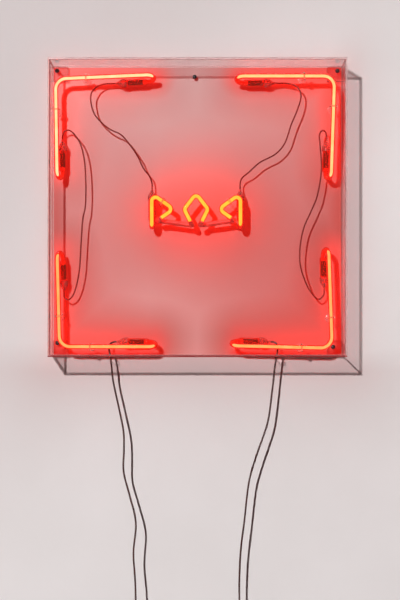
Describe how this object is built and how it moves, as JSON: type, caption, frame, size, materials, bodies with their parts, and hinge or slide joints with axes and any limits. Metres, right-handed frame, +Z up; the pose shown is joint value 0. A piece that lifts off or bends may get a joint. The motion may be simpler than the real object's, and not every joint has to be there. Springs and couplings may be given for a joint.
{
  "type": "neon advertising sign",
  "caption": "Wall-hung clear acrylic case with glowing red-orange neon corner tubes and a small neon motif, wired in series, with two supply leads hanging below",
  "frame": {"origin": "the middle of the back panel's rear face, on the wall that the sign hangs on", "axes": "+X right and +Z up as seen from the front; +Y into the wall, so the sign faces -Y"},
  "size_m": [0.6, 0.1, 1.1926],
  "materials": {
    "clear_acrylic": "clear polished sheet, cemented edges",
    "black_screw": "black zinc",
    "neon_glass": "lit glass",
    "electrode_metal": "oxidised nickel-iron",
    "silicone_boot": "translucent silicone",
    "clear_standoff": "clear moulded",
    "lead_sheath": "satin silicone sheath",
    "connector_plastic": "moulded"
  },
  "bodies": {
    "case_back": {"back_panel": "clear_acrylic", "corner_block_top_left": "clear_acrylic", "corner_block_top_right": "clear_acrylic", "corner_block_bottom_left": "clear_acrylic", "corner_block_bottom_right": "clear_acrylic", "corner_screw_top_left": "black_screw", "corner_screw_top_right": "black_screw", "corner_screw_bottom_left": "black_screw", "corner_screw_bottom_right": "black_screw", "hanging_screw": "black_screw", "neon_tube_top_left": "neon_glass", "neon_tube_top_right": "neon_glass", "neon_tube_bottom_left": "neon_glass", "neon_tube_bottom_right": "neon_glass", "neon_tube_motif": "neon_glass", "electrode_shell_top_left_across": "electrode_metal", "electrode_shell_top_left_upright": "electrode_metal", "electrode_shell_top_right_across": "electrode_metal", "electrode_shell_top_right_upright": "electrode_metal", "electrode_shell_bottom_left_across": "electrode_metal", "electrode_shell_bottom_left_upright": "electrode_metal", "electrode_shell_bottom_right_across": "electrode_metal", "electrode_shell_bottom_right_upright": "electrode_metal", "electrode_shell_motif_left": "electrode_metal", "electrode_shell_motif_right": "electrode_metal", "end_boot_top_left_across": "silicone_boot", "end_boot_top_left_upright": "silicone_boot", "end_boot_top_right_across": "silicone_boot", "end_boot_top_right_upright": "silicone_boot", "end_boot_bottom_left_across": "silicone_boot", "end_boot_bottom_left_upright": "silicone_boot", "end_boot_bottom_right_across": "silicone_boot", "end_boot_bottom_right_upright": "silicone_boot", "end_boot_motif_left": "silicone_boot", "end_boot_motif_right": "silicone_boot", "tube_support_top_left_across": "clear_standoff", "tube_support_top_left_upright": "clear_standoff", "tube_support_top_right_across": "clear_standoff", "tube_support_top_right_upright": "clear_standoff", "tube_support_bottom_left_across": "clear_standoff", "tube_support_bottom_left_upright": "clear_standoff", "tube_support_bottom_right_across": "clear_standoff", "tube_support_bottom_right_upright": "clear_standoff", "tube_support_motif_left": "clear_standoff", "tube_support_motif_right": "clear_standoff", "jumper_lead_top_left": "lead_sheath", "jumper_lead_top_right": "lead_sheath", "jumper_lead_left": "lead_sheath", "jumper_lead_right": "lead_sheath", "supply_lead_left": "lead_sheath", "supply_lead_right": "lead_sheath", "supply_coil_left": "lead_sheath", "supply_coil_right": "lead_sheath", "supply_connector_left": "connector_plastic", "supply_connector_right": "connector_plastic"},
    "cover": {"cover_front_pane": "clear_acrylic", "cover_top_wall": "clear_acrylic", "cover_bottom_wall": "clear_acrylic", "cover_left_wall": "clear_acrylic", "cover_right_wall": "clear_acrylic"}
  },
  "joints": [
    {"name": "cover_slide", "type": "slide", "parent": "case_back", "child": "cover", "axis": [0, -1, 0], "range_m": [0, 0.15]}
  ]
}
